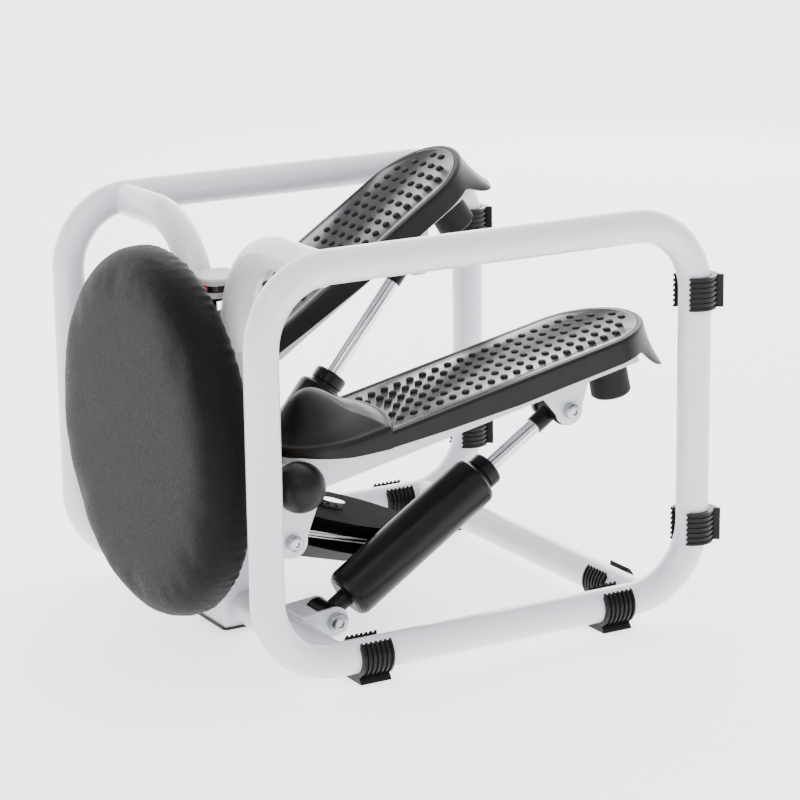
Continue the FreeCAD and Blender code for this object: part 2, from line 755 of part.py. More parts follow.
# ---------------------------------------------------------------- pedals
def pedal_arm(side):
    """Channel open below, with its hub, the lever for the cable and the ears for the damper."""
    item = body("pedal_arm_" + side, pedal_place(side))
    w = "arm_width"
    nose = "28"

    def bar(*points):
        pad(drawn(item, "YZ_Plane", "0", outline, *points), w, both=True)
    bar(("2", "arm_low"), ("pedal_heel - 14", "arm_low"), ("pedal_heel - 14", "web_top"), ("2", "web_top"))
    rod(item, "YZ_Plane", "0", "0", "0", w, "hub_dia", both=True)
    bar(("-hub_dia / 2 + 1", "-5"), ("lever_u - 14", "lever_v"), ("lever_u + 14", "lever_v"), ("28", "arm_low + 2"))
    rod(item, "YZ_Plane", "0", "lever_u", "lever_v", w, nose, both=True)
    bar(("ear_u - 24", "arm_low + 3"), ("ear_u - 13", "ear_v"), ("ear_u + 13", "ear_v"), ("ear_u + 24", "arm_low + 3"))
    rod(item, "YZ_Plane", "0", "ear_u", "ear_v", w, "26", both=True)
    inside = drawn(item, "YZ_Plane", "0", box, "-60", "-90", "pedal_heel + 20", "web_top - plate")
    pocket(inside, "arm_width - 2 * plate", both=True)
    rod(item, "YZ_Plane", "0", "0", "0", w, "hub_dia - 4", both=True)
    drill(item, "YZ_Plane", "0", "0", "0", "60", "bore_dia")
    drill(item, "YZ_Plane", "0", "lever_u", "lever_v", "60", "bolt_dia")
    drill(item, "YZ_Plane", "0", "ear_u", "ear_v", "60", "bolt_dia")
    for u in SCREWS:
        drill(item, "XY_Plane", "web_top", "0", u, "10", "5")
    return item


SCREWS = ("120", "200", "290")


def hub_bushes(side):
    """Two flanged bushes, pressed into the hub from either side."""
    item = body("hub_bushes_" + side, pedal_place(side))
    for back in (False, True):
        near = "-" if back else ""
        for wide, start, length in (("bore_dia", "1", "arm_width / 2 - 1"), ("28", "arm_width / 2", "1.5")):
            ring = drawn(item, "YZ_Plane", near + "(%s)" % start, circle, "0", "0", wide, "shaft_dia + 0.1")
            pad(ring, length, back=back)
    return item


def plan(item, inset):
    slot(item, "toe_centre", "heel_centre", "pedal_half - (%s)" % inset)


def dome(item, kind, thinner):
    """Upper half of an egg shape over the toe."""
    made = item.newObject("PartDesign::%sEllipsoid" % kind, item.Name + "_dome")
    base = next(o for o in item.Origin.OriginFeatures if o.Role == "XY_Plane")
    made.AttachmentSupport = (base, "")
    made.MapMode = "FlatFace"
    made.Angle1 = 0.0
    bind(made, "Radius1", "dome_high - " + thinner)
    bind(made, "Radius2", "dome_wide - " + thinner)
    bind(made, "Radius3", "dome_long - " + thinner)
    bind(made, "AttachmentOffset.Base.y", "dome_u")
    bind(made, "AttachmentOffset.Base.z", "dome_v")
    return made


def pedal_shell(side):
    """Moulded pedal: tread plate, skirt all round, dome over the toe and a flared heel."""
    item = body("pedal_shell_" + side, pedal_place(side))
    pad(drawn(item, "XY_Plane", "skirt_low", plan, "0"), "tread_top - skirt_low")
    # Recess for the tread mat, filled again under the hood
    pocket(drawn(item, "XY_Plane", "tread_top", plan, "mat_inset"), "1.5")
    hood = drawn(item, "XY_Plane", "tread_top - 1.5", circle, "0", "hood_centre", "2 * hood_radius")
    pad(hood, "brim_high - tread_top + 1.5")
    dome(item, "Additive", "0")
    # Keep only what lies over the plan, then hollow it from below
    around = drawn(item, "XY_Plane", "tread_top + 60", box, "-pedal_width * 2", "-pedal_width * 2",
                   "pedal_width * 2", "pedal_heel + 60")
    plan(around, "0")
    pocket(around, "200")
    pocket(drawn(item, "XY_Plane", "web_top", plan, "skirt_wall"), "60")
    dome(item, "Subtractive", "skirt_wall")
    # The lower edge rises towards the toe, over the ball on the shaft
    under = drawn(item, "YZ_Plane", "0", outline, ("-200", "23"), ("5", "22.3"), ("12", "21.3"), ("39", "16"),
                  ("74", "11"), ("200", "skirt_low"), ("200", "-80"), ("-200", "-80"))
    pocket(under, FAR, both=True)
    flare = sketch(item, "YZ_Plane", "0")
    edge, foot = "pedal_heel", "pedal_heel + heel_flare"
    outline(flare, (edge, "tread_top"), (foot, "heel_low"), (foot + " - skirt_wall", "heel_low"),
            (edge + " - skirt_wall", "tread_top"))
    at = number(flare, "heel_centre")
    spin = flare.addGeometry(Part.LineSegment(V(at, -40, 0), V(at, 40, 0)), True)
    flare.addConstraint(Sketcher.Constraint("Vertical", spin))
    tie(flare, "DistanceX", (-1, 1, spin, 1), "heel_centre")
    tie(flare, "DistanceY", (-1, 1, spin, 1), "-40")
    tie(flare, "DistanceY", (-1, 1, spin, 2), "40")
    revolve(flare, axis="Axis0", angle=110.0, both=True)
    lift = drawn(item, "YZ_Plane", "0", outline, ("heel_centre - 5", "skirt_low - 0.1"),
                 ("heel_centre + 26", "skirt_low - 0.1"), ("pedal_heel + heel_flare", "heel_low + 1"),
                 ("pedal_heel + heel_flare", "heel_low - 20"), ("heel_centre - 5", "heel_low - 20"))
    pocket(lift, FAR, both=True)
    for u in SCREWS:
        drill(item, "XY_Plane", "tread_top", "0", u, "10", "5")
    return item


def tread_mat(side):
    item = body("tread_mat_" + side, pedal_place(side))
    pad(drawn(item, "XY_Plane", "tread_top - 1.5", plan, "mat_inset + 0.15"), "1.5")
    hood = drawn(item, "XY_Plane", "tread_top + 1", circle, "0", "hood_centre", "2 * hood_radius + 0.3")
    pocket(hood, "10")
    dome(item, "Subtractive", "-0.15")
    return item


def pedal_screws(side):
    """Three screws from below through the arm's web into the shell."""
    item = body("pedal_screws_" + side, pedal_place(side))
    for u in SCREWS:
        rod(item, "XY_Plane", "web_top - plate", "0", u, "tread_top - 1.5 - web_top + plate", "5")
        rod(item, "XY_Plane", "web_top - plate", "0", u, "3", "9.5", back=True)
    return item


def arm_bolts(side, way):
    """The bolt that the cable's eye hangs on, and the bolt of the damper's upper end."""
    item = body("arm_bolts_" + side, pedal_place(side))
    head, nut = ("13.5", "6"), ("13.5", "4")
    bolt_across(item, "0", "lever_u", "lever_v", way, "bolt_dia", head, nut, "arm_width / 2")
    bolt_across(item, "0", "ear_u", "ear_v", way, "bolt_dia", head, nut, "arm_width / 2")
    inward = "-" if way > 0 else ""
    rod(item, "YZ_Plane", inward + "(arm_width / 2 + 4)", "lever_u", "lever_v",
        "pedal_x - cable_radius - arm_width / 2 + 1", "bolt_dia", back=way > 0)
    rod(item, "YZ_Plane", inward + "(pedal_x - cable_radius + cable_dia / 2 + 0.4)", "lever_u", "lever_v",
        "4", "13.5", back=way > 0)
    return item


def buffer(side):
    """Rubber stop hung under the web near the heel."""
    item = body("buffer_" + side, pedal_place(side))
    face = sketch(item, "YZ_Plane", "0")
    top = "web_top - plate"
    outline(face, ("buffer_u", top), ("buffer_u + 16.4", top), ("buffer_u + 17.4", "-40"),
            ("buffer_u + 15.4", "-42"), ("buffer_u", "-42"))
    spin = face.addGeometry(Part.LineSegment(V(number(face, "buffer_u"), -50, 0),
                                             V(number(face, "buffer_u"), 30, 0)), True)
    face.addConstraint(Sketcher.Constraint("Vertical", spin))
    tie(face, "DistanceX", (-1, 1, spin, 1), "buffer_u")
    tie(face, "DistanceY", (-1, 1, spin, 1), "-50")
    tie(face, "DistanceY", (-1, 1, spin, 2), "30")
    revolve(face, axis="Axis0")
    return item


# ---------------------------------------------------------------- dampers
def turned(item, *points):
    """Solid of revolution about the damper's own axis, from radius and height pairs."""
    revolve(drawn(item, "XY_Plane", "0", outline, *points))


def damper(side):
    place = damper_place(side)
    eye = body("damper_eye_" + side, place)
    rod(eye, "YZ_Plane", "0", "0", "0", "barrel_width", "23", both=True)
    rod(eye, "XZ_Plane", "0", "0", "0", "damper_low", "16", back=True)
    drill(eye, "YZ_Plane", "0", "0", "0", "60", "eye_bolt_dia + 0.16")
    r = "damper_dia / 2"
    tube = body("damper_tube_" + side, place)
    turned(tube, ("0", "damper_low"), (r + " - 7", "damper_low"), (r + " - 3.2", "damper_low + 1.2"),
           (r + " - 0.9", "damper_low + 3.8"), (r, "damper_low + 7"),
           (r, "damper_high - 5"), (r + " - 0.7", "damper_high - 2.2"), (r + " - 2.3", "damper_high - 0.6"),
           (r + " - 4", "damper_high"), (r + " - 5", "damper_high"),
           (r + " - 5", "damper_low + 7"), ("0", "damper_low + 7"))
    gland = body("damper_gland_" + side, place)
    bore = "rod_dia / 2 + 0.05"
    collar = "collar_dia / 2"
    turned(gland, (bore, "damper_high - 12"), (r + " - 5.05", "damper_high - 12"),
           (r + " - 5.05", "damper_high + 0.6"), (collar + " - 1", "damper_high + 0.6"),
           (collar + " - 1", "damper_high + 3"), (collar, "damper_high + 4"), (collar, "collar_high - 2.5"),
           (collar + " - 0.8", "collar_high - 0.8"), (collar + " - 2.5", "collar_high"),
           (bore, "collar_high"))
    length = "damper_length_" + side
    low = length + " - rod_reach"
    piston = body("damper_piston_" + side, place)
    turned(piston, ("0", low + " - 12"), (r + " - 5.1", low + " - 12"), (r + " - 5.1", low), ("0", low))
    stem = body("damper_rod_" + side, place)
    turned(stem, ("0", low), ("rod_dia / 2", low), ("rod_dia / 2", length + " - end_reach + 9"),
           ("0", length + " - end_reach + 9"))
    end = body("rod_end_" + side, place)
    rod(end, "XZ_Plane", length + " - end_reach", "0", "0", "end_reach - 6", "rod_dia + 2.4", back=True)
    rod(end, "YZ_Plane", "0", length, "0", "barrel_width", "25", both=True)
    for sense in (False, True):
        near = "-" if sense else ""
        rod(end, "YZ_Plane", near + "(barrel_width / 2 - 2.5)", length, "0", "3", "28", back=sense)
    drill(end, "YZ_Plane", "0", length, "0", "60", "bolt_dia + 2 * eye_slack")
    drill(end, "XZ_Plane", length + " - end_reach", "0", "0", "9", "rod_dia", both=False)


counter()
clips()
sheave()
for side, sign, way in SIDES:
    cable_run(side, sign, way)
    pedal_arm(side)
    hub_bushes(side)
    pedal_shell(side)
    tread_mat(side)
    pedal_screws(side)
    arm_bolts(side, way)
    buffer(side)
    damper(side)


# ---------------------------------------------------------------- write the pieces
doc.recompute()
os.makedirs("parts", exist_ok=True)
for item in doc.Objects:
    broken = [word for word in item.State if word in ("Invalid", "Error")]
    if broken:
        raise RuntimeError("%s is %s" % (item.Name, broken))
for item in nodes:
    shape = item.Shape
    if shape.isNull() or not shape.isValid() or not shape.Solids:
        raise RuntimeError("%s has no valid solid" % item.Label)
    shape.exportStep("parts/%s.step" % item.Label)
    print("%-24s %2d solid(s) %10.0f mm3" % (item.Label, len(shape.Solids), shape.Volume))
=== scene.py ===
"""Looks of the mini stepper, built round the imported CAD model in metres."""

import json
import math

import bmesh
import bpy
from mathutils import Matrix, Vector


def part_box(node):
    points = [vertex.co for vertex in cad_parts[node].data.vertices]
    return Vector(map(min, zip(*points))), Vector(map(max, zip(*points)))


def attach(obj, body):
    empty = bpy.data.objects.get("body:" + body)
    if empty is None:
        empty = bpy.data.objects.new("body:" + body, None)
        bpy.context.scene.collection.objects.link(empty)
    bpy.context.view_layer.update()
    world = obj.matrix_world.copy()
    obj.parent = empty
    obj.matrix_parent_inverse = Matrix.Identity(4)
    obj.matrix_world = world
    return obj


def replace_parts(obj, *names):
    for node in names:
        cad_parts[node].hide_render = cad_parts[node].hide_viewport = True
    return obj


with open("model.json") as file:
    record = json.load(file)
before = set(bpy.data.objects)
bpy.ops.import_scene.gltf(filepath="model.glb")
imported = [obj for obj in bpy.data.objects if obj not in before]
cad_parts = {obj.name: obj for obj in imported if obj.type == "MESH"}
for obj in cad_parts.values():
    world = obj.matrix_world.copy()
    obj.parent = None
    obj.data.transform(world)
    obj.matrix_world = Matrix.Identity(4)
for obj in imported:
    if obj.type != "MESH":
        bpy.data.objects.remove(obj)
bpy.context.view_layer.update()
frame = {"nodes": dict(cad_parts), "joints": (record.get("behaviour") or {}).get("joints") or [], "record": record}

MM = 0.001
TAU = math.tau

# ------------------------------------------------------------------ datum points from the CAD
loop_low, loop_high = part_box("side_loop_right")
TUBE = loop_high.x - loop_low.x
GROUND = loop_low.z
FRONT = loop_low.y + TUBE / 2
joints = {j["name"]: j for j in frame["joints"]}
TILT = {"right": math.radians(11.7), "left": math.radians(33.4)}
SIDE = {"right": 1, "left": -1}


def pedal_matrix(side):
    """From a pedal's own frame (x across, y to the heel, z up), in mm, to the row frame."""
    pivot = Vector(joints["pedal_%s_hinge" % side]["pos_m"])
    turn = Matrix.Rotation(TILT[side], 4, "X")
    return Matrix.Translation(pivot) @ turn @ Matrix.Scale(MM, 4)


# ------------------------------------------------------------------ camera, floor and light
def camera():
    azimuth, elevation, roll = math.radians(60.14), math.radians(14.6), math.radians(-0.79)
    data = bpy.data.cameras.new("camera")
    data.sensor_width = 36.0
    data.lens = 126.2
    cam = bpy.data.objects.new("camera", data)
    bpy.context.scene.collection.objects.link(cam)
    back = Vector((math.sin(azimuth) * math.cos(elevation),
                   -math.cos(azimuth) * math.cos(elevation), math.sin(elevation)))
    right = Vector((math.cos(azimuth), math.sin(azimuth), 0))
    up = back.cross(right)
    c, s = math.cos(roll), math.sin(roll)
    right, up = right * c + up * s, up * c - right * s
    turn = Matrix((right, up, back)).transposed().to_4x4()
    place = Vector((2.0392, -0.9439 + FRONT, 0.7771 + GROUND))
    cam.matrix_world = Matrix.Translation(place) @ turn
    data.clip_start, data.clip_end = 0.05, 50
    bpy.context.scene.camera = cam
    return cam


def area_light(name, place, target, size, power):
    data = bpy.data.lights.new(name, "AREA")
    data.shape = "RECTANGLE"
    data.size, data.size_y = size
    data.energy = power
    lamp = bpy.data.objects.new(name, data)
    bpy.context.scene.collection.objects.link(lamp)
    lamp.location = place
    lamp.rotation_euler = (Vector(target) - Vector(place)).to_track_quat("-Z", "Y").to_euler()


def studio():
    """Pale floor that runs into a pale surround, with large soft lamps."""
    mesh = bpy.data.meshes.new("floor")
    half = 14.0
    corners = [(-half, -half, 0), (half, -half, 0), (half, half, 0), (-half, half, 0)]
    mesh.from_pydata(corners, [], [(0, 1, 2, 3)])
    floor = bpy.data.objects.new("floor", mesh)
    bpy.context.scene.collection.objects.link(floor)
    floor.data.materials.append(floor_paint())
    # Lit wall well behind the object, square to the photograph's view
    wall = bpy.data.meshes.new("backdrop")
    away, along = Vector((-0.867, 0.498, 0)), Vector((0.498, 0.867, 0))
    foot = away * 9.0
    corners = [foot - along * 20, foot + along * 20]
    wall.from_pydata([*corners, corners[1] + Vector((0, 0, 9)), corners[0] + Vector((0, 0, 9))], [], [(0, 1, 2, 3)])
    backdrop = bpy.data.objects.new("backdrop", wall)
    bpy.context.scene.collection.objects.link(backdrop)
    backdrop.data.materials.append(wall_paint())
    world = bpy.data.worlds.new("studio")
    world.use_nodes = True
    back = world.node_tree.nodes["Background"]
    back.inputs["Color"].default_value = (1.0, 1.0, 1.0, 1)
    back.inputs["Strength"].default_value = 1.25
    bpy.context.scene.world = world
    area_light("key", (1.6, -1.9, 2.2), (0, 0, 0.15), (1.6, 1.6), 34)
    area_light("top", (-0.4, 0.6, 2.6), (0, 0, 0.1), (2.4, 2.4), 34)
    area_light("rim", (-1.8, 1.6, 1.0), (0, 0, 0.2), (1.2, 1.6), 16)


# ------------------------------------------------------------------ materials
class Paint:
    """A node material with a Principled shader and helpers for its detail."""

    def __init__(self, name):
        self.mat = bpy.data.materials.new(name)
        self.mat.use_nodes = True
        self.tree = self.mat.node_tree
        self.shader = self.tree.nodes["Principled BSDF"]
        self.height = None
        coords = self.tree.nodes.new("ShaderNodeTexCoord")
        self.place = coords.outputs["Object"]

    def node(self, kind, **inputs):
        made = self.tree.nodes.new("ShaderNode" + kind)
        for key, value in inputs.items():
            self.put(made, key, value)
        return made

    def put(self, node, key, value):
        socket = node.inputs[key]
        if isinstance(value, bpy.types.NodeSocket):
            self.tree.links.new(value, socket)
        else:
            socket.default_value = value

    def set(self, **values):
        for key, value in values.items():
            name = key.replace("_", " ")
            if name == "Base Color" and not isinstance(value, bpy.types.NodeSocket):
                value = (*value, 1.0)
            self.put(self.shader, name, value)
        return self

    def scaled(self, factors):
        mapping = self.node("Mapping", Vector=self.place)
        mapping.inputs["Scale"].default_value = factors
        return mapping.outputs["Vector"]

    def noise(self, scale, detail=3.0, rough=0.5, where=None):
        made = self.node("TexNoise", Vector=where or self.place)
        made.inputs["Scale"].default_value = scale
        made.inputs["Detail"].default_value = detail
        made.inputs["Roughness"].default_value = rough
        return made.outputs["Fac"]

    def cells(self, scale, feature="DISTANCE_TO_EDGE", where=None, random=1.0):
        made = self.node("TexVoronoi", Vector=where or self.place)
        made.feature = feature
        made.inputs["Scale"].default_value = scale
        made.inputs["Randomness"].default_value = random
        return made.outputs["Distance"]

    def spread(self, value, low, high, start=0.0, end=1.0):
        """Map a value from start..end onto low..high."""
        made = self.node("MapRange", Value=value)
        made.inputs["From Min"].default_value = start
        made.inputs["From Max"].default_value = end
        made.inputs["To Min"].default_value = low
        made.inputs["To Max"].default_value = high
        return made.outputs["Result"]

    def blend(self, factor, first, second):
        made = self.tree.nodes.new("ShaderNodeMix")
        made.data_type = "RGBA"
        self.tree.links.new(factor, made.inputs["Factor"])
        for slot, colour in ((6, first), (7, second)):
            if isinstance(colour, bpy.types.NodeSocket):
                self.tree.links.new(colour, made.inputs[slot])
            else:
                made.inputs[slot].default_value = (*colour, 1.0)
        return made.outputs[2]

    def bump(self, height, distance, strength=1.0):
        made = self.node("Bump", Height=height)
        made.inputs["Distance"].default_value = distance
        made.inputs["Strength"].default_value = strength
        if self.height is not None:
            self.tree.links.new(self.height, made.inputs["Normal"])
        self.height = made.outputs["Normal"]
        self.tree.links.new(self.height, self.shader.inputs["Normal"])
        return self


def floor_paint():
    """Lit white sweep, so that the floor runs into the surround."""
    p = Paint("floor_paint")
    p.set(Base_Color=p.blend(p.noise(3.0), (0.93, 0.93, 0.93), (0.90, 0.90, 0.90)), Roughness=0.8)
    p.set(Emission_Color=(1.0, 1.0, 1.0, 1.0), Emission_Strength=1.7)
    return p.mat


def wall_paint():
    p = Paint("wall_paint")
    p.set(Base_Color=p.blend(p.noise(0.5), (0.9, 0.9, 0.9), (0.88, 0.88, 0.88)), Roughness=0.9)
    p.set(Emission_Color=(1.0, 1.0, 1.0, 1.0), Emission_Strength=2.6)
    return p.mat


def powder_coat():
    """White gloss powder coat: faint orange peel and slight change of tone."""
    p = Paint("powder_coat")
    tone = p.noise(9.0, 4.0)
    p.set(Base_Color=p.blend(tone, (0.64, 0.66, 0.72), (0.69, 0.705, 0.755)), Coat_Weight=0.35, Coat_Roughness=0.12)
    p.set(Roughness=p.spread(p.noise(60.0), 0.24, 0.36))
    p.bump(p.noise(420.0, 2.0), 0.00006, 0.6)
    return p.mat


def moulded(name, colour, rough_low, rough_high, grain=900.0, depth=0.00005, shine=0.5):
    """Moulded plastic with a fine spark-eroded grain, duller in patches and paler on wear."""
    p = Paint(name)
    wear = p.noise(35.0, 5.0, 0.65)
    pale = tuple(c * 1.4 + 0.002 for c in colour)
    p.set(Base_Color=p.blend(p.spread(wear, 0.0, 0.7, 0.45, 0.8), colour, pale))
    p.set(Roughness=p.spread(p.noise(22.0, 4.0), rough_low, rough_high), Specular_IOR_Level=shine)
    p.bump(p.noise(grain, 2.0), depth, 0.7)
    return p.mat


def vinyl():
    """Black seat vinyl: small leather cells, pores and a soft sheen."""
    p = Paint("seat_vinyl")
    warp = p.noise(90.0, 3.0)
    moved = p.node("VectorMath")
    moved.operation = "MULTIPLY_ADD"
    p.put(moved, 0, p.place)
    moved.inputs[1].default_value = (1, 1, 1)
    spread = p.node("CombineXYZ", X=p.spread(warp, -0.0012, 0.0012), Y=p.spread(warp, 0.001, -0.001),
                    Z=p.spread(warp, -0.001, 0.0012))
    p.put(moved, 2, spread.outputs["Vector"])
    cell = p.cells(620.0, where=moved.outputs["Vector"])
    fine = p.cells(1500.0)
    p.set(Base_Color=p.blend(p.spread(cell, 0.0, 1.0, 0.0, 0.3), (0.0012, 0.0012, 0.0015), (0.0035, 0.0035, 0.0043)))
    p.set(Roughness=p.spread(cell, 0.60, 0.42, 0.0, 0.3), Specular_IOR_Level=0.09)
    p.bump(p.spread(cell, 0.0, 1.0, 0.0, 0.25), 0.00022, 0.6)
    p.bump(p.spread(fine, 0.0, 1.0, 0.0, 0.25), 0.00006, 0.4)
    return p.mat


def metal(name, colour, rough, streak=(1, 1, 1), scale=300.0, depth=0.00002, spots=0.06):
    """Bare or plated metal: streaks along the way it was worked and a few dull spots."""
    p = Paint(name)
    lines = p.noise(scale, 3.0, 0.6, p.scaled(streak))
    dark = tuple(c * 0.82 for c in colour)
    p.set(Base_Color=p.blend(p.spread(p.noise(40.0, 4.0), 0.0, 1.0, 0.35, 0.7), colour, dark), Metallic=1.0)
    p.set(Roughness=p.spread(lines, rough - spots, rough + spots))
    p.bump(lines, depth, 0.5)
    return p.mat


def rubber():
    p = Paint("rubber")
    p.set(Base_Color=p.blend(p.noise(50.0, 5.0, 0.6), (0.006, 0.006, 0.0065), (0.014, 0.014, 0.015)))
    p.set(Roughness=p.spread(p.noise(70.0, 4.0), 0.55, 0.8), Specular_IOR_Level=0.2)
    p.bump(p.noise(500.0, 3.0), 0.00012, 0.5)
    return p.mat


def glossy(name, colour, rough=0.12):
    p = Paint(name)
    p.set(Base_Color=p.blend(p.noise(25.0, 3.0), colour, tuple(c * 0.8 for c in colour)))
    p.set(Roughness=p.spread(p.noise(120.0, 3.0), rough * 0.7, rough * 1.6), Coat_Weight=0.3)
    return p.mat


def plywood():
    p = Paint("plywood")
    rings = p.noise(14.0, 5.0, 0.6, p.scaled((1, 1, 9)))
    p.set(Base_Color=p.blend(rings, (0.42, 0.28, 0.15), (0.60, 0.44, 0.27)), Roughness=0.7)
    p.bump(rings, 0.0001, 0.5)
    return p.mat


LOOK = {
    "white_paint": powder_coat(),
    "black_plastic": moulded("black_plastic", (0.0030, 0.0030, 0.0034), 0.30, 0.44, shine=0.20),
    "tread_plastic": moulded("tread_plastic", (0.012, 0.012, 0.0125), 0.17, 0.26, 700.0, 0.00001, 0.5),
    "grey_paint": moulded("grey_paint", (0.055, 0.056, 0.060), 0.34, 0.5, 500.0),
    "zinc_steel": metal("zinc_steel", (0.46, 0.47, 0.49), 0.24),
    "bush_plastic": moulded("bush_plastic", (0.55, 0.55, 0.53), 0.4, 0.5),
    "board": plywood(),
    "vinyl": vinyl(),
    "silver_plastic": moulded("silver_plastic", (0.42, 0.43, 0.44), 0.25, 0.35, 800.0),
    "screen": glossy("screen", (0.006, 0.006, 0.008)),
    "circuit": moulded("circuit", (0.02, 0.10, 0.05), 0.3, 0.5),
    "red_plastic": glossy("red_plastic", (0.42, 0.01, 0.02), 0.2),
    "rubber": rubber(),
    "damper_paint": moulded("damper_paint", (0.0025, 0.0025, 0.0028), 0.26, 0.36, 1100.0, 0.00002, 0.20),
    "chrome": metal("chrome", (0.78, 0.79, 0.81), 0.09, (1, 1, 1), 500.0, 0.000006, 0.03),
}


SHEAVE = moulded("sheave_matt", (0.003, 0.003, 0.0034), 0.75, 0.9, 400.0, 0.00006, 0.02)
# Stud material: the tread's plastic, rougher, with a darker colour that is painted shade for the dim faces of the
# raised studs
SHADED_STUD_PAINT = moulded("tread_studs_painted_shade", (0.004, 0.004, 0.0045), 0.55, 0.68, 600.0, 0.00003, 0.12)


# ------------------------------------------------------------------ meshes
def piece(name, verts, faces, look, body, smooth=True, matrix=None, auto=None):
    mesh = bpy.data.meshes.new(name)
    mesh.from_pydata([tuple(v) for v in verts], [], faces)
    if matrix is not None:
        mesh.transform(matrix)
    mesh.validate()
    bm = bmesh.new()
    bm.from_mesh(mesh)
    bmesh.ops.recalc_face_normals(bm, faces=bm.faces)
    bm.to_mesh(mesh)
    bm.free()
    for polygon in mesh.polygons:
        polygon.use_smooth = smooth
    obj = bpy.data.objects.new(name, mesh)
    bpy.context.scene.collection.objects.link(obj)
    obj.data.materials.append(LOOK[look])
    if auto is not None:
        mesh.set_sharp_from_angle(angle=math.radians(auto))
    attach(obj, body)
    return obj


def ring_faces(rows, count):
    """Quads between successive closed rows of count vertices."""
    faces = []
    for r in range(rows - 1):
        for k in range(count):
            a, b = r * count + k, r * count + (k + 1) % count
            faces.append((a, b, b + count, a + count))
    return faces


# ------------------------------------------------------------------ CAD nodes that keep their shape
slots = {row["node"]: row["material_slot"] for row in frame["record"]["subparts"]}


def dress_nodes():
    for name, obj in frame["nodes"].items():
        obj.data.materials.clear()
        obj.data.materials.append(LOOK[slots[name]])
        obj.data.set_sharp_from_angle(angle=math.radians(32))
    frame["nodes"]["sheave"].data.materials[0] = SHEAVE


dress_nodes()
camera()
studio()


# ------------------------------------------------------------------ pedals
HALF = 57.5
TOE_C, HEEL_C = 55.5, 298.5
TREAD = 24.0
HOOD_R = 105.7
HOOD_C = 97.0 - HOOD_R


def stadium(inset, steps_arc=48, steps_side=40):
    """Points of a pedal's plan, inset from its edge: up the right side, heel, left side, toe."""
    r = HALF - inset
    points = []
    for k in range(steps_arc):
        a = math.pi * k / steps_arc
        points.append((r * math.cos(a), HEEL_C + r * math.sin(a)))
    for k in range(steps_side):
        points.append((-r, HEEL_C + (TOE_C - HEEL_C) * k / steps_side))
    for k in range(steps_arc):
        a = math.pi + math.pi * k / steps_arc
        points.append((r * math.cos(a), TOE_C + r * math.sin(a)))
    for k in range(steps_side):
        points.append((r, TOE_C + (HEEL_C - TOE_C) * k / steps_side))
    return points


def smooth_step(value, low, high):
    t = min(max((value - low) / (high - low), 0.0), 1.0)
    return t * t * (3 - 2 * t)


def skirt_low(y):
    """Height of the skirt's lower edge along the pedal."""
    stops = ((-2.0, 23.0), (5.0, 22.3), (12.0, 21.0), (39.0, 16.0), (74.0, 11.0), (130.0, 7.2),
             (200.0, 4.0), (400.0, 4.0))
    for (y0, z0), (y1, z1) in zip(stops, stops[1:]):
        if y <= y1:
            return z0 + (z1 - z0) * max(y - y0, 0) / (y1 - y0)
    return stops[-1][1]


def heel_share(x, y):
    """1 in the middle of the heel's curve, 0 where the flare has run out."""
    if y < HEEL_C:
        return 0.0
    angle = math.degrees(math.atan2(abs(x), y - HEEL_C))
    return 1.0 - smooth_step(angle, 30.0, 60.0)


def wall_row(inset, level, low_extra=0.0):
    """One ring of the skirt: level 0 is the tread's edge and 1 the lower edge."""
    row = []
    for x, y in stadium(inset):
        share = heel_share(x, y)
        low = skirt_low(y) - 23.0 * share + low_extra
        z = (TREAD - 2.6) + (low - (TREAD - 2.6)) * level
        out = 9.5 * share * ((TREAD - z) / 43.0) ** 2.0
        length = math.hypot(x, max(y - HEEL_C, 0.0)) or 1.0
        row.append((x + out * x / length, y + out * max(y - HEEL_C, 0.0) / length, z))
    return row


def flat_row(inset, z):
    return [(x, y, z) for x, y in stadium(inset)]


def pedal_base(side):
    """Skirt, rounded edge and the rim round the tread."""
    matrix = pedal_matrix(side)
    rows = [flat_row(12.0, 22.3), flat_row(5.1, 22.3), flat_row(5.0, TREAD - 0.3), flat_row(4.7, TREAD),
            flat_row(2.7, TREAD)]
    for k in range(1, 6):
        a = math.radians(90 * k / 5)
        rows.append(flat_row(2.6 - 2.6 * math.sin(a), TREAD - 2.6 + 2.6 * math.cos(a)))
    steps = 14
    rows += [wall_row(0.0, k / steps) for k in range(1, steps)]
    rows += [wall_row(0.0, 1.0, 0.5), wall_row(0.3, 1.0), wall_row(2.4, 1.0), wall_row(2.7, 1.0, 0.5)]
    rows += [wall_row(2.8, 0.8), wall_row(2.8, 0.4), flat_row(2.8, 20.5), flat_row(24.0, 20.5)]
    count = len(rows[0])
    verts = [v for row in rows for v in row]
    base = piece("pedal_base_" + side, verts, ring_faces(len(rows), count), "black_plastic", "pedal_" + side,
                 matrix=matrix, auto=40)
    return base


def hood_height(x, y, share):
    """Upper surface of the toe hood: a full dome out to the brim, with a rounded stop on it."""
    dome = 29.5 + 15.0 * (1 - share ** 2.3)
    reach = math.sqrt(((x + 6.0) / 42.0) ** 2 + ((y - 42.0) / 36.0) ** 2)
    bump = 16.5 * (0.5 + 0.5 * math.cos(math.pi * min(reach, 1.0)))
    return dome + bump


def hood_edge(angle):
    """Distance from the hood's middle to its outline, in that direction."""
    middle = Vector((0.0, 48.0))
    way = Vector((math.cos(angle), math.sin(angle)))
    low, high = 0.0, 120.0
    for _ in range(40):
        mid = (low + high) / 2
        p = middle + way * mid
        wide = HALF + 0.3
        inside_plan = abs(p.x) < wide if p.y > TOE_C else (p.x ** 2 + (p.y - TOE_C) ** 2) < wide ** 2
        inside_arc = p.x ** 2 + (p.y - HOOD_C) ** 2 < HOOD_R ** 2
        if inside_plan and inside_arc:
            low = mid
        else:
            high = mid
    return low


